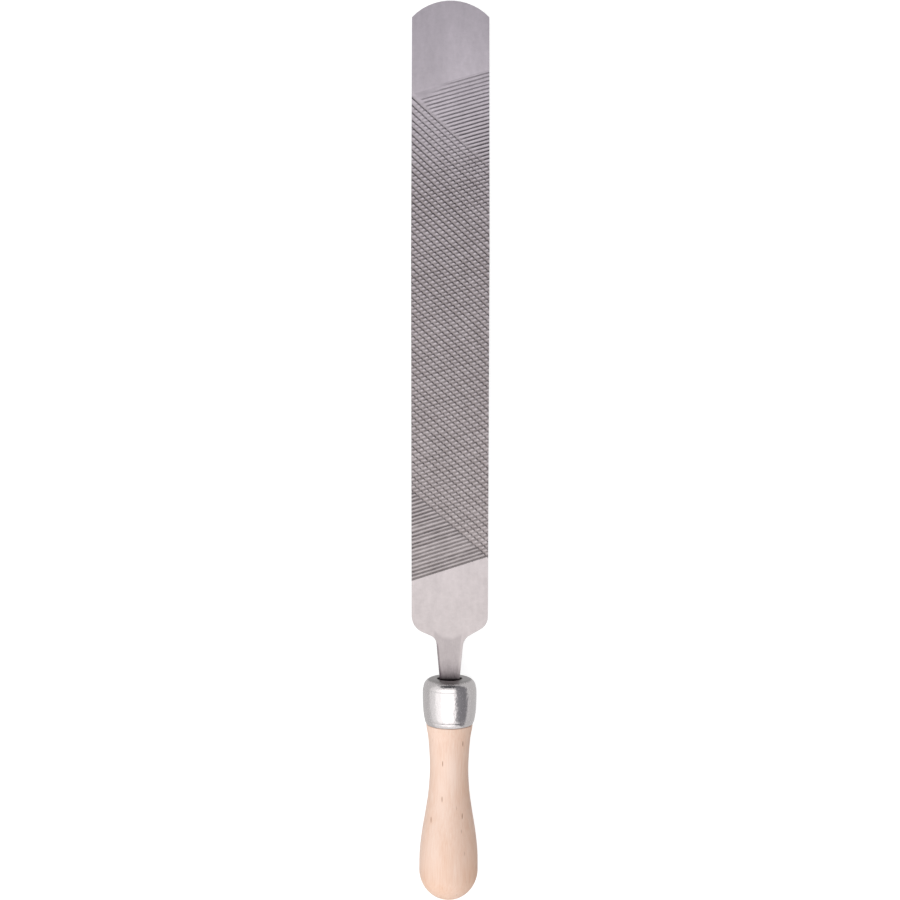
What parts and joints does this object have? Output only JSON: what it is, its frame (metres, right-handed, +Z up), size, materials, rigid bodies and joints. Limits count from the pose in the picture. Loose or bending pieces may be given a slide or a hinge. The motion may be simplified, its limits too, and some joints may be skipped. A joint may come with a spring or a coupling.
{
  "type": "flat file",
  "caption": "Flat hand file: double-cut steel blade with a rounded tip and plain heel, tang driven into a turned wooden handle with a steel ferrule.",
  "frame": {"origin": "on the surface that the file lies on, under the middle of its length and width", "axes": "+Y runs from the butt of the handle to the tip of the blade, +Z up out of the blade's front face, +X across the blade; the file lies as it comes to rest, on the bulge of its ferrule and the lower edge of its tip, so the blade dips 1.82 degrees towards the tip"},
  "size_m": [0.0442, 0.5048, 0.0348],
  "materials": {
    "file_steel": "ground tool steel with machine-cut teeth, the tang left darker from the forge",
    "ferrule_steel": "polished sheet steel",
    "beech": "turned beech under a thin clear lacquer"
  },
  "bodies": {
    "root": {"file_blade": "file_steel", "ferrule": "ferrule_steel", "handle": "beech"}
  },
  "joints": []
}
